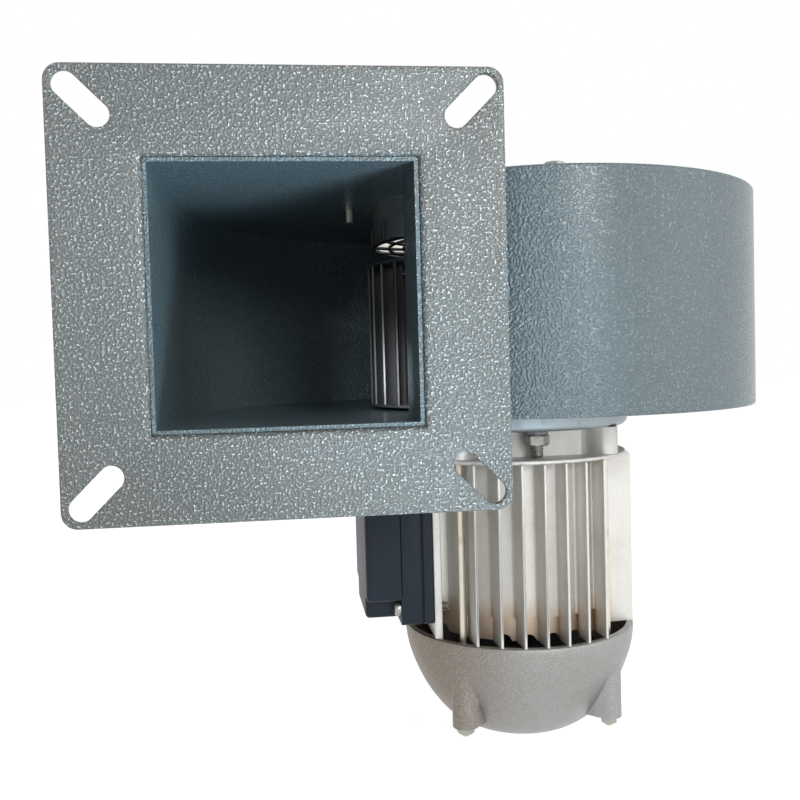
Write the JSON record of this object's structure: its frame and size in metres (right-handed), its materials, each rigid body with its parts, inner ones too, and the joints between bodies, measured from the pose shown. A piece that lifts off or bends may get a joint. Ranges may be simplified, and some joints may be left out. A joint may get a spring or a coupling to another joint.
{
  "type": "centrifugal blower fan",
  "caption": "Single-inlet centrifugal blower with a painted sheet scroll, square outlet flange, forward-curved impeller and finned aluminium motor.",
  "frame": {"origin": "middle of the outlet opening, on the front face of the outlet flange", "axes": "-Y out of the outlet; +Z along the shaft, from the motor to the inlet; +X from the outlet towards the shaft"},
  "size_m": [0.3117, 0.2495, 0.2903],
  "materials": {
    "flange_paint": "grey-green hammer-texture powder coat, semi-gloss",
    "casing_paint": "blue-grey hammer-texture powder coat, semi-gloss",
    "bright_steel": "zinc-plated pressed sheet",
    "black_steel": "black-coated steel wire",
    "zinc": "bright zinc plate",
    "yellow_zinc": "yellowish zinc plate",
    "dark_steel": "dark phosphated spring steel",
    "machined_aluminium": "turned aluminium",
    "cast_aluminium": "die-cast aluminium, lightly tarnished",
    "blasted_aluminium": "shot-blasted cast aluminium",
    "lamination_steel": "stacked electrical steel",
    "copper": "varnished copper winding",
    "bearing_steel": "ground steel",
    "box_plastic": "dark blue-black moulded plastic",
    "gasket_rubber": "black rubber",
    "pale_plastic": "pale moulded plastic",
    "black_plastic": "black moulded plastic",
    "impeller_paint": "dark grey coated sheet steel"
  },
  "bodies": {
    "housing": {"outlet_flange": "flange_paint", "scroll_wrap": "casing_paint", "inlet_side_plate": "casing_paint", "motor_side_plate": "casing_paint", "inlet_ring": "bright_steel", "inlet_guard": "black_steel", "inlet_ring_screws": "zinc", "mounting_disc": "machined_aluminium", "mount_studs": "zinc", "mount_lock_washers": "dark_steel", "mount_nuts": "zinc", "front_end_shield": "cast_aluminium", "finned_housing": "cast_aluminium", "stator_core": "lamination_steel", "stator_windings": "copper", "rear_end_shield": "cast_aluminium", "fan_cowl": "blasted_aluminium", "through_rods": "yellow_zinc", "rod_nuts": "zinc", "front_bearing": "bearing_steel", "rear_bearing": "bearing_steel", "preload_washer": "dark_steel", "terminal_base": "box_plastic", "terminal_gasket": "gasket_rubber", "terminal_cover": "box_plastic", "terminal_screws": "zinc", "terminal_block": "pale_plastic", "capacitor": "pale_plastic", "cable_gland": "black_plastic", "gland_nut": "black_plastic"},
    "rotor": {"shaft": "bearing_steel", "rotor_core": "lamination_steel", "rotor_end_rings": "cast_aluminium", "impeller_hub": "cast_aluminium", "impeller_back_plate": "impeller_paint", "impeller_blades": "impeller_paint", "impeller_front_ring": "impeller_paint", "hub_grub_screw": "dark_steel", "hub_rivets": "zinc", "cooling_fan": "black_plastic", "fan_clip": "dark_steel"}
  },
  "joints": [
    {"name": "rotor_spin", "type": "hinge", "parent": "housing", "child": "rotor", "pos_m": [0.1102, 0.11, 0], "axis": [0, 0, 1], "continuous": true}
  ]
}
